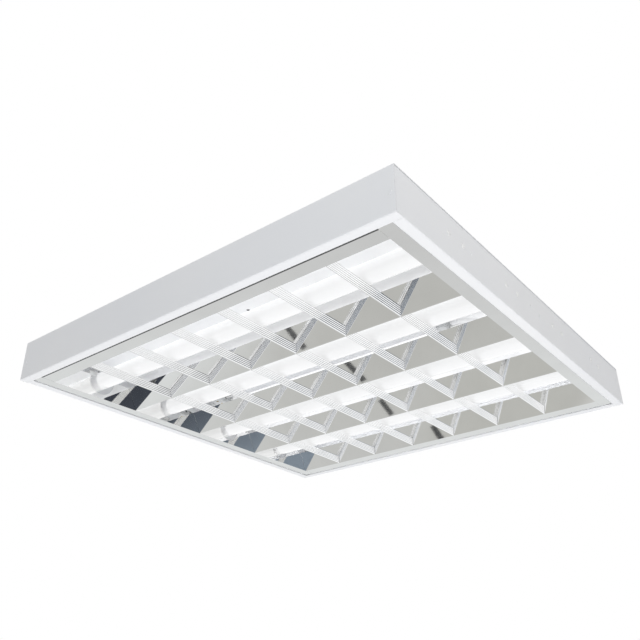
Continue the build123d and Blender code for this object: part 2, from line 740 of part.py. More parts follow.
# ---- cable entry: a plate with a collar that closes the opening in the back ----
with BuildPart() as terminal_cover:
    with BuildSketch(Plane.XY.offset(back_inside - entry_plate)):
        with Locations((entry_centre, 0)):
            Rectangle(entry_length, entry_width)
    extrude(amount=entry_plate)
    with BuildSketch(Plane.XY.offset(back_inside - entry_collar_height)):
        with Locations((entry_centre, 0)):
            Circle(entry_radius + entry_collar_wall)
    extrude(amount=entry_collar_height)
    with BuildSketch(Plane.XY.offset(back_inside - entry_collar_height)):
        with Locations((entry_centre, 0)):
            Circle(entry_radius)
    extrude(amount=entry_collar_height, mode=Mode.SUBTRACT)
terminal_cover.part.label = "terminal_cover"
export_step(terminal_cover.part, "parts/terminal_cover.step")

# ---- earth stud, its lug and nut ----
nut_top = back_inside - earth_lug_thickness
with BuildPart() as earth_stud:
    with BuildSketch(Plane.XY.offset(back_inside - earth_stud_length)):
        with Locations((earth_x, earth_y)):
            Circle(earth_stud_radius)
    extrude(amount=earth_stud_length)
earth_stud.part.label = "earth_stud"
export_step(earth_stud.part, "parts/earth_stud.step")

with BuildPart() as earth_nut:
    with BuildSketch(Plane.XY.offset(nut_top - earth_nut_height)):
        with Locations((earth_x, earth_y)):
            RegularPolygon(earth_nut_across / 2, 6, major_radius=False)
            Circle(earth_stud_radius, mode=Mode.SUBTRACT)
    extrude(amount=earth_nut_height)
earth_nut.part.label = "earth_nut"
export_step(earth_nut.part, "parts/earth_nut.step")

mouth_z = terminal_bottom + terminal_height / 2
earth_way_y = -terminal_way
earth_mouth_x = terminal_centre + terminal_length / 2
earth_route = [
    (earth_mouth_x, earth_way_y, mouth_z),
    (earth_mouth_x + earth_wire_reach, earth_way_y, mouth_z),
    (earth_mouth_x + earth_wire_reach, earth_y, mouth_z),
    (earth_x + earth_lug_length - lead_radius, earth_y, nut_top),
]
with BuildPart() as earth_wire:
    with BuildSketch(Plane.XY.offset(nut_top)):
        with Locations((earth_x, earth_y)):
            Circle(earth_lug_radius)
            Rectangle(earth_lug_length, earth_lug_neck, align=(Align.MIN, Align.CENTER))
            Circle(earth_stud_radius, mode=Mode.SUBTRACT)
    extrude(amount=earth_lug_thickness)
    add(wire_along(earth_route, lead_radius, lead_bend_radius))
earth_wire.part.label = "earth_wire"
export_step(earth_wire.part, "parts/earth_wire.step")

# ---- supply wires from the terminal block to the ballast ----
connector_face = ballast_length / 2 + connector_length
supply_routes = []
for wire_number in (0, 1):
    block_y = wire_number * terminal_way
    ballast_y = (wire_number - 1) * way_spacing
    supply_routes.append(
        [
            (earth_mouth_x, block_y, mouth_z),
            (earth_mouth_x + supply_wire_reach, block_y, mouth_z),
            (-connector_face - supply_wire_reach, ballast_y, connector_z),
            (-connector_face, ballast_y, connector_z),
        ]
    )
with BuildPart() as supply_wires:
    for route in supply_routes:
        add(wire_along(route, lead_radius, lead_bend_radius))
supply_wires.part.label = "supply_wires"
export_step(supply_wires.part, "parts/supply_wires.step")

# ---- looms: a bundle across each end, a trunk to the ballast and leads to every lampholder ----
bundle_half = lamp_places[-1] + bundle_spare
trunk_way = 1.5 * way_spacing  # between the connector's last two ways
for side, toward in sides.items():
    trunk = [
        (toward * connector_face, trunk_way, connector_z),
        (toward * (connector_face + trunk_straight), trunk_way, connector_z),
        (toward * (connector_face + trunk_straight + trunk_shift), trunk_offset, bundle_height),
        (toward * (bundle_x - bundle_radius - wire_gap), trunk_offset, bundle_height),
    ]
    lead_routes = []
    for lamp_y in lamp_places:
        for lead_y in (lamp_y - lead_pair_spacing / 2, lamp_y + lead_pair_spacing / 2):
            lead_routes.append(
                [
                    (toward * (bundle_x + bundle_radius + wire_gap), lead_y, bundle_height),
                    (toward * (holder_face + holder_depth / 2), lead_y, bundle_height),
                    (toward * (holder_face + holder_depth / 2), lead_y, lamp_height + holder_rise),
                ]
            )
    with BuildPart() as loom:
        with BuildSketch(Plane.XZ):
            with Locations((toward * bundle_x, bundle_height)):
                Circle(bundle_radius)
        extrude(amount=bundle_half, both=True)
        add(wire_along(trunk, bundle_radius, trunk_bend_radius))
        for route in lead_routes:
            add(wire_along(route, lead_radius, lead_bend_radius))
    loom.part.label = f"loom_{side}"
    export_step(loom.part, f"parts/loom_{side}.step")

# ---- clips that hold the cross bundles to the back ----
with BuildPart() as loom_clips:
    clip_half_width = bundle_radius + clip_gap + clip_wall
    for toward in sides.values():
        for clip_y in (spine_places[0], spine_places[-1]):
            with BuildSketch(Plane.XZ.offset(-clip_y - clip_length / 2)):
                with Locations((toward * bundle_x, bundle_height)):
                    Circle(clip_half_width)
                    Rectangle(2 * clip_half_width, bundle_drop, align=(Align.CENTER, Align.MIN))
                    Circle(bundle_radius + clip_gap, mode=Mode.SUBTRACT)
            extrude(amount=clip_length)
loom_clips.part.label = "loom_clips"
export_step(loom_clips.part, "parts/loom_clips.step")
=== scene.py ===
# %% [markdown]
# # A recessed troffer light, dressed in Blender
# The solids of this light come from CAD, each as its own object, and they are already in the right
# place. What is left for Blender is the looks: the light of a studio, and for every piece a finish
# that is made of shader nodes. Lengths are in metres. X runs east along the tubes, Y north across
# them and Z up into the ceiling.

# %% Load the CAD model as a fixed frame
import bpy
import bmesh
import json
import math
from mathutils import Matrix, Vector


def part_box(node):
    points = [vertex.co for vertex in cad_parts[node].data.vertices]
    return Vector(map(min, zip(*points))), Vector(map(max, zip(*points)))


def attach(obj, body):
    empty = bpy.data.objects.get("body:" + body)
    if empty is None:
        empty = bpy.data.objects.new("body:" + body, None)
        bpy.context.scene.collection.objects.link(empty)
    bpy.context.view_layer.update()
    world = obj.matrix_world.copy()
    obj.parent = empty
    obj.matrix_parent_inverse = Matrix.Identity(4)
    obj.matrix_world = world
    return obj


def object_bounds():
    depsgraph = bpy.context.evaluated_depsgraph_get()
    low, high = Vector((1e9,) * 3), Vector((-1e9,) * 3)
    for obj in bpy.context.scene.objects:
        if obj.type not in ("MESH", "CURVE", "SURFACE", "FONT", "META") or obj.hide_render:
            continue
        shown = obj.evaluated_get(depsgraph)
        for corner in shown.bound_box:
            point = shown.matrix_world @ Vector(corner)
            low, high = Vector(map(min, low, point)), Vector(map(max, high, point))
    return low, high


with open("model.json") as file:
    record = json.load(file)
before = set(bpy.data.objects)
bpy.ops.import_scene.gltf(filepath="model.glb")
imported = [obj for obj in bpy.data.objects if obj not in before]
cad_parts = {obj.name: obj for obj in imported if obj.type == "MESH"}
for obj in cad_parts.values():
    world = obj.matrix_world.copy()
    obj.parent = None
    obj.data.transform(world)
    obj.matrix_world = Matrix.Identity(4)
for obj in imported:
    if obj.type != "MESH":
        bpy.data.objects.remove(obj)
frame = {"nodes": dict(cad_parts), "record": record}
cad_low, cad_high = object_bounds()
scene = bpy.context.scene
print("CAD box", [round(v, 4) for v in cad_low], [round(v, 4) for v in cad_high])

# %% [markdown]
# ## Camera
# The picture looks up at the light from below and from one corner. A camera can be aimed by hand,
# with a Track To constraint, or from angles. Angles are used here, because they were worked out once
# from the corners of the body and then never change. Blender's camera looks along its own -Z with +Y
# up, and `to_track_quat` turns it there. A small roll is added afterwards, about the line of sight.

# %% Camera
view_azimuth = math.radians(38.354)
view_elevation = math.radians(-28.130)
view_roll = math.radians(-0.277)
view_lens = 41.516
view_sensor = 36.0
view_nearest = 0.01
view_place = Vector((0.597915, -0.788434, -0.409445))


def sight_direction(azimuth, elevation):
    """Where a camera looks: azimuth 0 is along +Y and 90 along -X, elevation is over the horizon."""
    across = math.cos(elevation)
    return Vector((-math.sin(azimuth) * across, math.cos(azimuth) * across, -math.sin(elevation)))


camera = bpy.data.objects.new("camera", bpy.data.cameras.new("camera"))
scene.collection.objects.link(camera)
aim = sight_direction(view_azimuth, view_elevation).to_track_quat("-Z", "Y")
camera.rotation_mode = "QUATERNION"
camera.rotation_quaternion = aim @ Matrix.Rotation(view_roll, 3, "Z").to_quaternion()
camera.location = view_place
camera.data.sensor_width = view_sensor
camera.data.lens = view_lens
camera.data.clip_start = view_nearest
scene.camera = camera
print("camera at", [round(v, 3) for v in camera.location])

# %% [markdown]
# ## Studio
# A mirror shows what stands round it, so the studio is half of this picture. The world is white to
# the camera and to mirrors, and dimmer as a light, so that the enamel keeps its shades of grey. A
# panorama of a real studio could do this too, but plain nodes are easier to steer. The Light Path
# node tells what kind of ray has arrived, which is how one world can be both backdrop and lamp.
# First come two small helpers, which make a node and fill its sockets in one line.


# %% Helpers for values
def math_node(tree, operation, first, second):
    """A Math node of two sockets or numbers."""
    node = tree.nodes.new("ShaderNodeMath")
    node.operation = operation
    for place, value in enumerate((first, second)):
        if isinstance(value, (int, float)):
            node.inputs[place].default_value = value
        else:
            tree.links.new(value, node.inputs[place])
    return node.outputs[0]


def range_node(tree, value, low, high, new_low=0.0, new_high=1.0, smooth=False):
    """A Map Range node that clamps. A smooth one eases in and out, as soft edges do."""
    node = tree.nodes.new("ShaderNodeMapRange")
    if smooth:
        node.interpolation_type = "SMOOTHSTEP"
    tree.links.new(value, node.inputs["Value"])
    labels = ("From Min", "From Max", "To Min", "To Max")
    for label, number in zip(labels, (low, high, new_low, new_high)):
        node.inputs[label].default_value = number
    return node.outputs["Result"]


print("value helpers ready")

# %% World
ambient_light = 0.58
backdrop_light = 1.0
world = bpy.data.worlds.new("studio_air")
scene.world = world
world.use_nodes = True
air = world.node_tree
air.nodes.clear()
ray = air.nodes.new("ShaderNodeLightPath").outputs
seen_or_mirrored = math_node(air, "MAXIMUM", ray["Is Camera Ray"], ray["Is Glossy Ray"])
seen_in_any_way = math_node(air, "MAXIMUM", seen_or_mirrored, ray["Is Transmission Ray"])
strength = range_node(air, seen_in_any_way, 0.0, 1.0, ambient_light, backdrop_light)
backdrop = air.nodes.new("ShaderNodeBackground")
backdrop.inputs["Color"].default_value = (1.0, 1.0, 1.0, 1.0)
air.links.new(strength, backdrop.inputs["Strength"])
air_out = air.nodes.new("ShaderNodeOutputWorld")
air.links.new(backdrop.outputs[0], air_out.inputs["Surface"])
print("world light", ambient_light)

# %% [markdown]
# ### Floor
# The floor lies far below, because this light belongs in a ceiling. A curved studio backdrop could be
# modelled, but one large plane is enough when the camera looks up.


# %% Floor, far below
def stage_faces(name, faces):
    """A studio piece of flat faces, each given by its corners."""
    shape = bmesh.new()
    for corners in faces:
        shape.faces.new([shape.verts.new(corner) for corner in corners])
    mesh = bpy.data.meshes.new(name)
    shape.to_mesh(mesh)
    shape.free()
    piece = bpy.data.objects.new(name, mesh)
    scene.collection.objects.link(piece)
    return piece


def stage_plane(name, half_x, half_y):
    """A flat rectangle round its own middle."""
    corners = [(-half_x, -half_y), (half_x, -half_y), (half_x, half_y), (-half_x, half_y)]
    return stage_faces(name, [[(x, y, 0.0) for x, y in corners]])


def plain_finish(name, colour, roughness):
    """One even matt colour, for the studio's own surfaces."""
    material = bpy.data.materials.new(name)
    material.use_nodes = True
    shader = material.node_tree.nodes["Principled BSDF"]
    shader.inputs["Base Color"].default_value = (*colour, 1.0)
    shader.inputs["Roughness"].default_value = roughness
    return material


floor_depth = 2.2
floor_half = 30.0
floor = stage_plane("studio_floor", floor_half, floor_half)
floor.location = (0.0, 0.0, -floor_depth)
floor_finish = plain_finish("floor_pale_grey", (0.82, 0.82, 0.83), roughness=0.8)
floor.data.materials.append(floor_finish)
print("floor at", -floor_depth)

# %% [markdown]
# ### The floor in the mirrors
# The louvre is a mirror that looks down, so most of what it shows is floor. Its light strips are
# darker by the near corner, where they show the floor right below, and lighter towards the far ends.
# Coloured boards round the light could give such tones, but they would put hard edges in the mirrors.
# Here the floor's shader gets a second face, for mirrors only: a glow that grows lighter with
# distance, and soft round pools where the long blades and the cross blades look. A pool is the
# distance to its middle, turned into a mask.


# %% Helpers for colours
def distance_node(tree, place, centre):
    """How far a point is from a centre."""
    node = tree.nodes.new("ShaderNodeVectorMath")
    node.operation = "DISTANCE"
    tree.links.new(place, node.inputs[0])
    node.inputs[1].default_value = centre
    return node.outputs["Value"]


def blend_colours(tree, mask, first, second):
    """The first colour where the mask is 0, the second where it is 1. Each is a socket or a colour."""
    mix = tree.nodes.new("ShaderNodeMix")
    mix.data_type = "RGBA"
    tree.links.new(mask, mix.inputs["Factor"])
    for label, colour in (("A", first), ("B", second)):
        if isinstance(colour, tuple):
            mix.inputs[label].default_value = (*colour, 1.0)
        else:
            tree.links.new(colour, mix.inputs[label])
    return mix.outputs["Result"]


print("colour helpers ready")

# %% What mirrors see of the floor
floor_near_tone = 0.6
floor_far_tone = 0.8
floor_near_distance = 1.0
floor_far_distance = 7.0
far_tint = (0.975, 1.0, 1.005)
near_grey = (floor_near_tone, floor_near_tone, floor_near_tone)
far_grey = tuple(floor_far_tone * share for share in far_tint)
floor_pools = {  # middle, radius of the full colour, radius where it ends, colour
    "dull to the south-west": ((-2.1, -5.4, 0.0), 1.0, 4.8, (0.545, 0.545, 0.525)),
    "bright to the north-east": ((4.6, 4.8, 0.0), 2.0, 5.5, (1.12, 1.13, 1.14)),
    "bright and close by": ((1.2, -1.1, 0.0), 0.9, 1.9, (1.1, 1.1, 1.12)),
    "bright to the south": ((0.0, -2.45, 0.0), 0.8, 1.4, (1.12, 1.12, 1.14)),
    "dull, small and closer": ((-1.35, -3.1, 0.0), 0.45, 1.05, (0.54, 0.54, 0.515)),
}
floor_tree = floor_finish.node_tree
spot = floor_tree.nodes.new("ShaderNodeTexCoord").outputs["Object"]
from_middle = distance_node(floor_tree, spot, (0.0, 0.0, 0.0))
away = range_node(floor_tree, from_middle, floor_near_distance, floor_far_distance, smooth=True)
mirrored_colour = blend_colours(floor_tree, away, near_grey, far_grey)
for centre, inner, outer, pool_colour in floor_pools.values():
    to_pool = distance_node(floor_tree, spot, centre)
    pool = range_node(floor_tree, to_pool, inner, outer, 1.0, 0.0, smooth=True)
    mirrored_colour = blend_colours(floor_tree, pool, mirrored_colour, pool_colour)
mirrored_floor = floor_tree.nodes.new("ShaderNodeEmission")
floor_tree.links.new(mirrored_colour, mirrored_floor.inputs["Color"])
print("floor tones", floor_near_tone, floor_far_tone, "and", len(floor_pools), "pools")

# %% [markdown]
# To the camera the floor fades into white with distance, as studio paper does that curves up at its
# far end. So no horizon shows behind the light when another view looks at it from the side or from
# above. Volume fog could give that haze and would be slow. A glow mixed in for camera rays alone does
# it at once, and leaves the light that the floor throws back as it is.


# %% What the camera sees of the floor
def blend_shaders(tree, share, first, second):
    """A mix of two shader nodes by a share."""
    mix = tree.nodes.new("ShaderNodeMixShader")
    tree.links.new(share, mix.inputs[0])
    tree.links.new(first.outputs[0], mix.inputs[1])
    tree.links.new(second.outputs[0], mix.inputs[2])
    return mix


haze_near = 0.55
haze_starts = 2.5
haze_ends = 20.0
floor_ray = floor_tree.nodes.new("ShaderNodeLightPath").outputs
white_haze = floor_tree.nodes.new("ShaderNodeEmission")
haze_share = range_node(floor_tree, from_middle, haze_starts, haze_ends, haze_near, 1.0, smooth=True)
haze_seen = math_node(floor_tree, "MULTIPLY", haze_share, floor_ray["Is Camera Ray"])
seen_floor = blend_shaders(floor_tree, haze_seen, floor_tree.nodes["Principled BSDF"], white_haze)
floor_face = blend_shaders(floor_tree, floor_ray["Is Glossy Ray"], seen_floor, mirrored_floor)
floor_tree.links.new(floor_face.outputs[0], floor_tree.nodes["Material Output"].inputs["Surface"])
print("haze from", haze_starts, "to", haze_ends)

# %% [markdown]
# ### Dark pieces for the mirrors
# Bright metal looks like metal only if it has something dark to show. Photographers use a black flag
# for that. Here a navy board stands behind the camera, and the blades show it as dark blue patches.
# An even board would look cut out, so its colour runs from pale to dark up the board. It is hidden
# from the camera, because some other view may look at it.

# %% Dark board behind the camera
board_direction = Vector((0.52, -0.80, -0.36)).normalized()
board_distance = 2.4
board_half_width, board_half_height = 0.95, 0.55
board_pale, board_pale_at = (0.4, 0.48, 0.58), -0.45
board_dark, board_dark_at = (0.05, 0.06, 0.085), 0.26
board = stage_plane("studio_dark_board", board_half_width, board_half_height)
board.location = board_direction * board_distance
board.rotation_mode = "QUATERNION"
board.rotation_quaternion = (-board_direction).to_track_quat("Z", "Y")
board.visible_camera = False
board_finish = plain_finish("board_navy", board_dark, roughness=0.6)
board.data.materials.append(board_finish)
board_tree = board_finish.node_tree
board_spot = board_tree.nodes.new("ShaderNodeTexCoord").outputs["Object"]
board_place = board_tree.nodes.new("ShaderNodeSeparateXYZ")
board_tree.links.new(board_spot, board_place.inputs[0])
up_the_board = range_node(board_tree, board_place.outputs["Y"], board_pale_at, board_dark_at, smooth=True)
board_colour = blend_colours(board_tree, up_the_board, board_pale, board_dark)
board_tree.links.new(board_colour, board_tree.nodes["Principled BSDF"].inputs["Base Color"])
print("board at", [round(v, 2) for v in board.location])

# %% [markdown]
# Each row of blades also shows a slim dark mark, the mirror image of a dark stand. A stand with legs
# and a rail would be much work for four marks. A flat strip on the floor for each row does as well,
# in the place where a line from the camera meets the floor after the mirror has turned it. All four
# strips are the faces of one mesh, and the camera itself doesn't see them.

# %% Dark stand on the floor
stand_strips = [  # start, end, width
    ((-4.4, -5.86), (-3.68, -4.98), 0.062),
    ((-3.13, -4.47), (-2.72, -3.97), 0.05),
    ((-2.56, -3.58), (-2.36, -3.31), 0.04),
    ((-2.03, -2.985), (-1.87, -2.735), 0.042),
]
stand_lift = 0.01
stand_quads = []
for (start_x, start_y), (end_x, end_y), width in stand_strips:
    start = Vector((start_x, start_y, stand_lift - floor_depth))
    end = Vector((end_x, end_y, stand_lift - floor_depth))
    across = Vector((start.y - end.y, end.x - start.x, 0.0)).normalized() * width / 2
    stand_quads.append([start - across, end - across, end + across, start + across])
stand = stage_faces("studio_dark_stand", stand_quads)
stand.data.materials.append(plain_finish("stand_black", (0.02, 0.022, 0.025), roughness=0.6))
stand.visible_camera = False
print("stand of", len(stand_strips), "strips")

# %% [markdown]
# Over a ceiling it is dark, and the small fixing holes in the back let the eye see that. This studio
# is bright all round, so a small black card lies just over each hole. Its material is black on the
# underside and to the camera only: a Geometry node's Backfacing tells the two sides apart. All other
# rays meet a Transparent shader, so from above the back looks bare and the card casts no shade on it.

# %% Dark cards over the fixing holes
card_half = 0.012
card_lift = 0.003
fixing_hole_y = 0.184  # from the middle, as in the CAD
card_height = cad_high[2] + card_lift
card_finish = plain_finish("card_black", (0.02, 0.02, 0.022), roughness=0.9)
card_tree = card_finish.node_tree
clear = card_tree.nodes.new("ShaderNodeBsdfTransparent")
from_below = card_tree.nodes.new("ShaderNodeNewGeometry").outputs["Backfacing"]
from_camera = card_tree.nodes.new("ShaderNodeLightPath").outputs["Is Camera Ray"]
card_shows = math_node(card_tree, "MULTIPLY", from_below, from_camera)
one_sided = blend_shaders(card_tree, card_shows, clear, card_tree.nodes["Principled BSDF"])
card_tree.links.new(one_sided.outputs[0], card_tree.nodes["Material Output"].inputs["Surface"])
for name, card_y in (("studio_card_south", -fixing_hole_y), ("studio_card_north", fixing_hole_y)):
    card = stage_plane(name, card_half, card_half)
    card.location = (0.0, card_y, card_height)
    card.data.materials.append(card_finish)
print("cards at", round(card_height, 4))

# %% [markdown]
# ### Lamps
# A wide lamp below lights the underside, as a bright room would. Three smaller ones, by the near
# corner, to the south and to the east, set how light each wall is. A sun lamp would light all walls
# from one side with sharp shadows. Area lights are used, because the larger such a lamp is, the
# softer are its shadows. Mirrors don't show these lamps, or the louvre would be full of white squares.


# %% Soft lamps
def area_lamp(name, place, size_x, size_y, power):
    """A rectangular area light that neither the camera nor a mirror shows."""
    light = bpy.data.lights.new(name, "AREA")
    light.shape = "RECTANGLE"
    light.size = size_x
    light.size_y = size_y
    light.energy = power
    lamp = bpy.data.objects.new(name, light)
    scene.collection.objects.link(lamp)
    lamp.location = place
    lamp.visible_camera = False
    lamp.visible_glossy = False
    return lamp


def soft_lamp(name, place, size, power):
    """A square lamp that shines at the middle of the object."""
    lamp = area_lamp(name, place, size, size, power)
    lamp.rotation_mode = "QUATERNION"
    lamp.rotation_quaternion = (-Vector(place)).to_track_quat("-Z", "Y")
    print("lamp", name, power, "W")
    return lamp


soft_lamp("lamp_under", (0.1, -0.1, -1.9), size=1.6, power=22.0)
soft_lamp("lamp_corner", (0.55, -0.55, -0.85), size=0.5, power=1.1)
south_lamp = soft_lamp("lamp_south", (0.45, -1.0, 0.25), size=0.5, power=1.3)
south_lamp.data.color = (0.93, 0.97, 1.0)
soft_lamp("lamp_east", (1.0, -0.45, 0.25), size=0.2, power=0.95)

# %% [markdown]
# Inside, the enamel and the tubes are as white as paper in the picture, because light goes round and
# round in a white box. Few bounces are traced here, and more of them would be slow. So a faint long
# lamp lies on top of each long blade and shines up at the back and at the ballast. The blade hides it
# from below, and the lamp rides on the louvre, so that it stays behind its blade when the louvre
# swings down.

# %% A faint lamp on each long blade
facing_up = (math.pi, 0.0, 0.0)
facing_west = (0.0, math.pi / 2, 0.0)
facing_north = (math.pi / 2, 0.0, 0.0)


def strip_lamp(name, place, size_x, size_y, power, body, turn=facing_up):
    """A thin lamp that rides on a body. An area light shines along its own -Z, so it is turned."""
    lamp = area_lamp(name, place, size_x, size_y, power)
    lamp.rotation_euler = turn
    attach(lamp, body)
    print("lamp", name, [round(v, 3) for v in lamp.location])


blade_lamp_powers = {
    "louvre_side_south": 0.12,
    "louvre_spine_1": 0.036,
    "louvre_spine_2": 0.06,
    "louvre_spine_3": 0.066,
    "louvre_side_north": 0.1,
}
blade_lamp_width = 0.034
lamp_lift = 0.001
for node, power in blade_lamp_powers.items():
    low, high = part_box(node)
    inner_y = low[1] + blade_lamp_width / 2 if low[1] > 0 else high[1] - blade_lamp_width / 2
    middle = ((low[0] + high[0]) / 2, inner_y, high[2] + lamp_lift)
    strip_lamp(f"lamp_on_{node}", middle, high[0] - low[0], blade_lamp_width, power, "louvre")

# %% [markdown]
# A tube keeps the blades' light off the back right above it, and the caps at its ends lie over the
# louvre's end strips, where little light comes. Each tube gets a faint lamp over its top, which rides
# on the housing because the tube turns. Each row of caps gets a narrow one below it, which rides on
# the louvre.

# %% A faint lamp over each tube and under the caps
tube_lamp_powers = {"lamp_1_tube": 0.02, "lamp_2_tube": 0.012, "lamp_3_tube": 0.01, "lamp_4_tube": 0.01}
tube_lamp_width = 0.02
for node, power in tube_lamp_powers.items():
    low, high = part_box(node)
    middle = ((low[0] + high[0]) / 2, (low[1] + high[1]) / 2, high[2] + lamp_lift)
    strip_lamp(f"lamp_over_{node}", middle, high[0] - low[0], tube_lamp_width, power, "housing")
cap_lamp_power = 0.026
cap_lamp_width = 0.01
cap_lamp_height = 0.0045
cap_lamp_inset = 0.006
cap_lamp_overhang = 0.03
caps_low, caps_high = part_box("lamp_1_caps")
cap_lamp_x = caps_high[0] - cap_lamp_inset
cap_lamp_length = 2 * (abs(caps_low[1]) + cap_lamp_overhang)
for name, middle_x in (("lamp_at_west_caps", -cap_lamp_x), ("lamp_at_east_caps", cap_lamp_x)):
    middle = (middle_x, 0.0, cap_lamp_height)
    strip_lamp(name, middle, cap_lamp_width, cap_lamp_length, cap_lamp_power, "louvre")

# %% [markdown]
# Between the louvre and the flange there is a narrow gap. Along the two far sides it is light in the
# picture, because the bright body shines through it. A line of light in each of these two gaps shines
# outward at the edge of the flange and gives that look. A glowing material on the flange would do it
# too, but it would also show from every other side.

# %% A faint lamp in the far gaps
gap_lamp_power = 0.0008
gap_lamp_width = 0.001
gap_lamp_length = 0.58
gap_lamp_offset = 0.0003
gap_lamp_place = abs(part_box("louvre_end_west")[0][0]) + gap_lamp_offset
strip_lamp(
    "lamp_in_west_gap", (-gap_lamp_place, 0.0, gap_lamp_width / 2), gap_lamp_width, gap_lamp_length,
    gap_lamp_power, "housing", facing_west,
)
strip_lamp(
    "lamp_in_north_gap", (0.0, gap_lamp_place, gap_lamp_width / 2), gap_lamp_length, gap_lamp_width,
    gap_lamp_power, "housing", facing_north,
)

# %% [markdown]
# ## Effects that several finishes share
# Three small effects make the difference between flat colour and a real surface: the soft ripple of
# baked enamel, the fine lines that rolls leave in bright sheet, and a haze of dust and handling. They
# could be painted as images, but noise nodes have no seams and need no unwrapping. Each is a node
# group, built once, with sockets for its size. A group gives out only values, and the Principled
# shader stays in each material.

# %% Helpers for node groups
FLOAT = "NodeSocketFloat"
VECTOR = "NodeSocketVector"


def effect_group(name, inputs, outputs):
    """An empty shader node group with named sockets, and its input and output nodes."""
    tree = bpy.data.node_groups.new(name, "ShaderNodeTree")
    for label, kind, value in inputs:
        socket = tree.interface.new_socket(label, in_out="INPUT", socket_type=kind)
        socket.default_value = value
    for label in outputs:
        tree.interface.new_socket(label, in_out="OUTPUT", socket_type=FLOAT)
    return tree, tree.nodes.new("NodeGroupInput"), tree.nodes.new("NodeGroupOutput")


def noise_node(tree, vector, scale, detail, roughness=0.5):
    """A Noise Texture fed by a vector socket. Scale is a socket or a number of cells to the metre."""
    noise = tree.nodes.new("ShaderNodeTexNoise")
    noise.inputs["Detail"].default_value = detail
    noise.inputs["Roughness"].default_value = roughness
    tree.links.new(vector, noise.inputs["Vector"])
    if isinstance(scale, (int, float)):
        noise.inputs["Scale"].default_value = scale
    else:
        tree.links.new(scale, noise.inputs["Scale"])
    return noise.outputs["Fac"]


print("group helpers ready")

# %% [markdown]
# ### Ripple
# Baked enamel isn't quite flat: it has a fine ripple, which shows in highlights, and its white drifts
# a little from patch to patch. Both are noise, one small and one large. Noise seldom comes near 0 or
# 1, so its middle is stretched to make a mask.

# %% Effect: baked enamel's ripple
patch_low, patch_high = 0.35, 0.65
enamel_ripple, ripple_in, ripple_out = effect_group(
    "enamel_ripple",
    [("Cells Per Metre", FLOAT, 700.0), ("Patch Scale", FLOAT, 6.0)],
    ["Height", "Tone"],
)
place = enamel_ripple.nodes.new("ShaderNodeTexCoord").outputs["Object"]
ripple = noise_node(enamel_ripple, place, ripple_in.outputs["Cells Per Metre"], detail=2.0)
patches = noise_node(enamel_ripple, place, ripple_in.outputs["Patch Scale"], detail=3.0)
ripple_tone = range_node(enamel_ripple, patches, patch_low, patch_high)
enamel_ripple.links.new(ripple, ripple_out.inputs["Height"])
enamel_ripple.links.new(ripple_tone, ripple_out.inputs["Tone"])
print("made", enamel_ripple.name)

# %% [markdown]
# ### Rolled lines
# Sheet metal comes out of the rolls with fine lines along its length. Noise turns into lines when
# its space is stretched, so the place is multiplied by a vector that is small along the lines and
# large across them.

# %% Effect: lines left by the rolls
line_low, line_high = 0.3, 0.7
rolled_lines, lines_in, lines_out = effect_group(
    "rolled_lines", [("Stretch", VECTOR, (12.0, 2600.0, 2600.0))], ["Height", "Tone"]
)
place = rolled_lines.nodes.new("ShaderNodeTexCoord").outputs["Object"]
stretched = rolled_lines.nodes.new("ShaderNodeVectorMath")
stretched.operation = "MULTIPLY"
rolled_lines.links.new(place, stretched.inputs[0])
rolled_lines.links.new(lines_in.outputs["Stretch"], stretched.inputs[1])
lines = noise_node(rolled_lines, stretched.outputs[0], scale=1.0, detail=3.0, roughness=0.6)
line_tone = range_node(rolled_lines, lines, line_low, line_high)
rolled_lines.links.new(lines, lines_out.inputs["Height"])
rolled_lines.links.new(line_tone, lines_out.inputs["Tone"])
print("made", rolled_lines.name)

# %% [markdown]
# ### Dust
# A light that has hung for a while has a thin haze of dust on it, in clouds. One could scatter specks
# too, but from this far they are smaller than a pixel. Large noise with some detail in it makes the
# clouds, and each finish decides whether they change its colour or its roughness.

# %% Effect: dust and handling
cloud_low, cloud_high = 0.4, 0.7
fine_dust, dust_in, dust_out = effect_group("fine_dust", [("Cloud Scale", FLOAT, 9.0)], ["Haze"])
place = fine_dust.nodes.new("ShaderNodeTexCoord").outputs["Object"]
clouds = noise_node(fine_dust, place, dust_in.outputs["Cloud Scale"], detail=4.0, roughness=0.6)
fine_dust.links.new(range_node(fine_dust, clouds, cloud_low, cloud_high), dust_out.inputs["Haze"])
print("made", fine_dust.name)

# %% [markdown]
# ## Finishes
# Every finish starts from the same short helpers: a Principled shader with a base colour that drifts
# between a colour and a shade, a roughness that drifts between a smoothest and a roughest value, and
# a bump. Each finish is kept under the name of the material slot that it is for.


# %% Helpers for finishes
def new_finish(name, metallic, ior=1.5):
    """A material with one Principled shader. Gives back the material, its tree and the shader."""
    material = bpy.data.materials.new(name)
    material.use_nodes = True
    tree = material.node_tree
    shader = tree.nodes["Principled BSDF"]
    shader.inputs["Metallic"].default_value = metallic
    shader.inputs["IOR"].default_value = ior
    return material, tree, shader


def place_effect(tree, group, **values):
    """One node group in a material, with its sockets set by name."""
    node = tree.nodes.new("ShaderNodeGroup")
    node.node_tree = group
    for label, value in values.items():
        node.inputs[label.replace("_", " ")].default_value = value
    return node.outputs


def drift_colour(tree, shader, mask, colour, shade):
    """Base Color drifts from a colour to a shade by a mask."""
    tree.links.new(blend_colours(tree, mask, colour, shade), shader.inputs["Base Color"])


def drift_roughness(tree, shader, mask, smoothest, roughest):
    """Roughness drifts between two values by a mask."""
    tree.links.new(range_node(tree, mask, 0.0, 1.0, smoothest, roughest), shader.inputs["Roughness"])


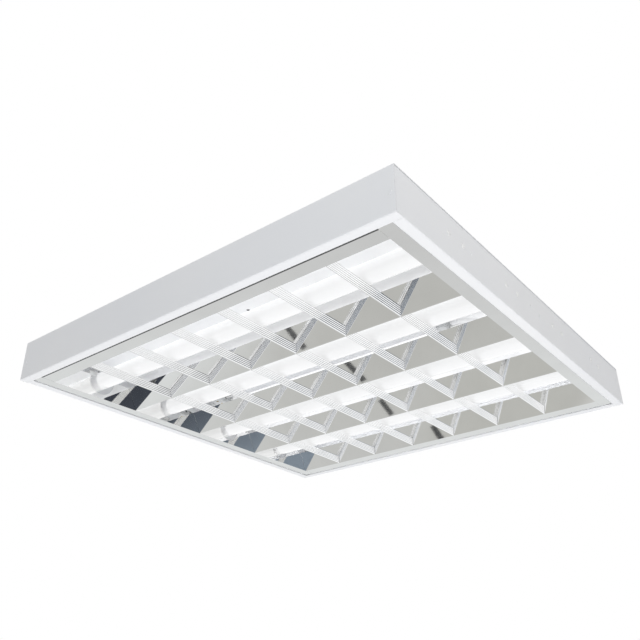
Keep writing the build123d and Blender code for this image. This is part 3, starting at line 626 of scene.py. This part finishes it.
def raise_surface(tree, shader, height, strength, distance):
    """A bump that feeds the shader's Normal."""
    bump = tree.nodes.new("ShaderNodeBump")
    bump.inputs["Strength"].default_value = strength
    bump.inputs["Distance"].default_value = distance
    tree.links.new(height, bump.inputs["Height"])
    tree.links.new(bump.outputs["Normal"], shader.inputs["Normal"])


finishes = {}
print("finish helpers ready")

# %% [markdown]
# ### Stove enamel
# The body is sheet steel with white enamel baked on it: even, half gloss, with a ripple that shows
# only in highlights. A clear coat over a white base could give the gloss, but one layer is enough for
# paint that is coloured through. A cool white and a slightly warmer one drift over some 20 cm.


# %% White enamel
def enamel(name, colour, shade, smoothest, roughest, ripple_strength):
    """Baked enamel between two whites."""
    material, tree, shader = new_finish(name, metallic=0.0)
    ripple_made = place_effect(tree, enamel_ripple, Cells_Per_Metre=650.0, Patch_Scale=5.0)
    dust = place_effect(tree, fine_dust, Cloud_Scale=11.0)
    drift_colour(tree, shader, ripple_made["Tone"], colour, shade)
    drift_roughness(tree, shader, dust["Haze"], smoothest, roughest)
    raise_surface(tree, shader, ripple_made["Height"], ripple_strength, distance=0.00006)
    return material


finishes["white_enamel"] = enamel(
    "white_enamel", colour=(0.85, 0.86, 0.88), shade=(0.88, 0.885, 0.895),
    smoothest=0.30, roughest=0.40, ripple_strength=0.35,
)
finishes["white_rivet"] = enamel(
    "white_rivet", colour=(0.84, 0.85, 0.87), shade=(0.87, 0.875, 0.885),
    smoothest=0.28, roughest=0.36, ripple_strength=0.2,
)
print("enamel", finishes["white_enamel"].name)

# %% [markdown]
# ### Bright aluminium
# The louvre is anodised aluminium sheet with a mirror finish. A Glossy shader alone would be a
# perfect mirror. What makes it metal are the fine lines of the rolls, which change its roughness and
# give it a bump. The cross blades are a little duller, so that their ribs show. The caps are satin.
# In the shader they are hardly metallic, so that they stay as light as the white that real ones
# mirror.


# %% Mirror sheet
def mirror_sheet(name, colour, shade, smoothest, roughest, stretch, depth, metallic=1.0):
    """Bright rolled sheet: a metal whose grain changes its roughness a little."""
    material, tree, shader = new_finish(name, metallic)
    grain = place_effect(tree, rolled_lines, Stretch=stretch)
    dust = place_effect(tree, fine_dust, Cloud_Scale=14.0)
    drift_colour(tree, shader, dust["Haze"], colour, shade)
    drift_roughness(tree, shader, grain["Tone"], smoothest, roughest)
    raise_surface(tree, shader, grain["Height"], strength=0.08, distance=depth)
    return material


bright_sheet = dict(
    colour=(0.88, 0.88, 0.87), shade=(0.84, 0.84, 0.83),
    smoothest=0.015, roughest=0.04, stretch=(9.0, 2400.0, 2400.0), depth=0.00001,
)
finishes["bright_aluminium"] = mirror_sheet("bright_aluminium", **bright_sheet)
finishes["ribbed_aluminium"] = mirror_sheet(
    "ribbed_aluminium", colour=(0.95, 0.95, 0.95), shade=(0.91, 0.91, 0.91),
    smoothest=0.1, roughest=0.15, stretch=(2400.0, 9.0, 2400.0), depth=0.00001,
)
finishes["cap_aluminium"] = mirror_sheet(
    "cap_aluminium", colour=(0.95, 0.95, 0.95), shade=(0.9, 0.9, 0.9),
    smoothest=0.4, roughest=0.5, stretch=(2200.0, 60.0, 60.0), depth=0.00003, metallic=0.2,
)
print("mirror", finishes["bright_aluminium"].name)

# %% [markdown]
# ### The painted shadow by the near flange
# Along the near long side, the louvre's strip folds up beside the flange, and a thin dark line lies
# there: the shade in the narrow gap. The fold is too small to cast that shade by itself, so this one
# strip gets the same bright sheet with a painted shadow line along its outer edge. A second material
# on a few faces would need a cut in the mesh there, and a mask by Y doesn't.

# %% Painted gap shadow beside the near flange
gap_shadow_width = 0.0026
gap_shadow_blur = 0.1  # share of the width
# painted shadow: the grey of the shade in the gap
gap_shadow_grey = (0.16, 0.16, 0.16)
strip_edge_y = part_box("louvre_side_south")[0][1]
shadow_full_at = strip_edge_y + gap_shadow_width * (1.0 - gap_shadow_blur)
shadow_ends_at = strip_edge_y + gap_shadow_width * (1.0 + gap_shadow_blur)
gap_shadow_finish = mirror_sheet("bright_aluminium_painted_gap_shadow", **bright_sheet)
edge_tree = gap_shadow_finish.node_tree
edge_colour = edge_tree.nodes["Principled BSDF"].inputs["Base Color"]
bright = edge_colour.links[0].from_socket
edge_spot = edge_tree.nodes.new("ShaderNodeTexCoord").outputs["Object"]
shadow_place = edge_tree.nodes.new("ShaderNodeSeparateXYZ")
edge_tree.links.new(edge_spot, shadow_place.inputs[0])
# Painted shadow: the strip turns grey along its outer edge, where the gap lies in shade.
gap_shade_mask = range_node(edge_tree, shadow_place.outputs["Y"], shadow_full_at, shadow_ends_at, 1.0, 0.0, smooth=True)
edge_tree.links.new(blend_colours(edge_tree, gap_shade_mask, bright, gap_shadow_grey), edge_colour)
special_finishes = {"louvre_side_south": gap_shadow_finish}
print("fold at", round(strip_edge_y, 4))

# %% [markdown]
# ### Tube glass
# A tube is clear glass with a white powder on its inside. It reads as a white core under a clear
# gloss, so a diffuse base with a coat does it, and no real refraction is needed. The base is grey and
# a small glow makes up for it: that keeps the tube even and white all round, where plain white would
# be shaded like a stick of chalk.

# %% Tube glass
tube_glass, tree, shader = new_finish("tube_glass", metallic=0.0)
powder = place_effect(tree, enamel_ripple, Cells_Per_Metre=900.0, Patch_Scale=18.0)
dust = place_effect(tree, fine_dust, Cloud_Scale=16.0)
drift_colour(tree, shader, powder["Tone"], colour=(0.28, 0.285, 0.29), shade=(0.25, 0.255, 0.26))
drift_roughness(tree, shader, dust["Haze"], smoothest=0.12, roughest=0.2)
raise_surface(tree, shader, powder["Height"], strength=0.1, distance=0.00003)
shader.inputs["Coat Weight"].default_value = 0.6
shader.inputs["Coat Roughness"].default_value = 0.04
# Painted light: the tube is not switched on, and this glow evens out its shading.
shader.inputs["Emission Color"].default_value = (1.0, 1.0, 1.0, 1.0)
shader.inputs["Emission Strength"].default_value = 0.69
finishes["tube_glass"] = tube_glass
print("glass", tube_glass.name)

# %% [markdown]
# ### Small metals
# Springs, screws, hinge ears and pins are seen only from close by or with the louvre down, and still
# get a surface each. They are rolled or drawn metal too, so the mirror sheet's helper makes them, with
# a rougher finish and a coarser grain.

# %% Spring steel and brass
finishes["spring_steel"] = mirror_sheet(
    "spring_steel", colour=(0.66, 0.67, 0.68), shade=(0.55, 0.56, 0.57),
    smoothest=0.24, roughest=0.36, stretch=(30.0, 1500.0, 1500.0), depth=0.00003,
)
finishes["pin_brass"] = mirror_sheet(
    "pin_brass", colour=(0.83, 0.66, 0.34), shade=(0.74, 0.57, 0.28),
    smoothest=0.2, roughest=0.32, stretch=(40.0, 1800.0, 1800.0), depth=0.00003,
)
print("metals", finishes["spring_steel"].name, finishes["pin_brass"].name)

# %% [markdown]
# ### Plastics and wire
# Lampholders, clips and connectors are moulded plastic, and the mould's spark-eroded wall leaves a
# fine matt skin on it. The enamel's ripple gives that skin with many more cells to the metre. The
# earth wire's insulation is yellow and green, and drifts from one to the other in patches.


# %% Moulded plastics and wire
def moulded(name, colour, shade, smoothest, roughest, cells):
    """Matt plastic: a fine spark-eroded texture and a slow drift of shade."""
    material, tree, shader = new_finish(name, metallic=0.0, ior=1.46)
    skin = place_effect(tree, enamel_ripple, Cells_Per_Metre=cells, Patch_Scale=25.0)
    dust = place_effect(tree, fine_dust, Cloud_Scale=20.0)
    drift_colour(tree, shader, skin["Tone"], colour, shade)
    drift_roughness(tree, shader, dust["Haze"], smoothest, roughest)
    raise_surface(tree, shader, skin["Height"], strength=0.3, distance=0.00005)
    return material


plastic_cells = 2200.0
wire_cells = 900.0
finishes["white_plastic"] = moulded(
    "white_plastic", colour=(0.94, 0.94, 0.93), shade=(0.9, 0.9, 0.89),
    smoothest=0.4, roughest=0.5, cells=plastic_cells,
)
finishes["grey_plastic"] = moulded(
    "grey_plastic", colour=(0.56, 0.57, 0.58), shade=(0.5, 0.51, 0.52),
    smoothest=0.42, roughest=0.52, cells=plastic_cells,
)
finishes["wire_insulation"] = moulded(
    "wire_insulation", colour=(0.85, 0.85, 0.84), shade=(0.8, 0.8, 0.79),
    smoothest=0.4, roughest=0.5, cells=wire_cells,
)
finishes["earth_insulation"] = moulded(
    "earth_insulation", colour=(0.75, 0.68, 0.08), shade=(0.12, 0.4, 0.1),
    smoothest=0.4, roughest=0.5, cells=wire_cells,
)
print("finishes", len(finishes))

# %% [markdown]
# ## Dressing the pieces
# The record says for every CAD node which material slot it takes its finish from, so one loop dresses
# them all and no piece is forgotten. The mesh itself stays as it came. A node that has a finish of
# its own, such as the strip with the painted gap shadow, is looked up first.

# %% Give every CAD node its finish
for part in frame["record"]["subparts"]:
    node = frame["nodes"][part["node"]]
    finish = special_finishes.get(part["node"], finishes[part["material_slot"]])
    if not node.data.materials:
        node.data.materials.append(finish)
    for index in range(len(node.data.materials)):
        node.data.materials[index] = finish

# %% [markdown]
# ## Colours at the end
# Blender's default view transform softens bright colours, which suits films. Standard shows each
# colour as it is written, which suits a white object on white.

# %% Colour management and the end
scene.view_settings.view_transform = "Standard"
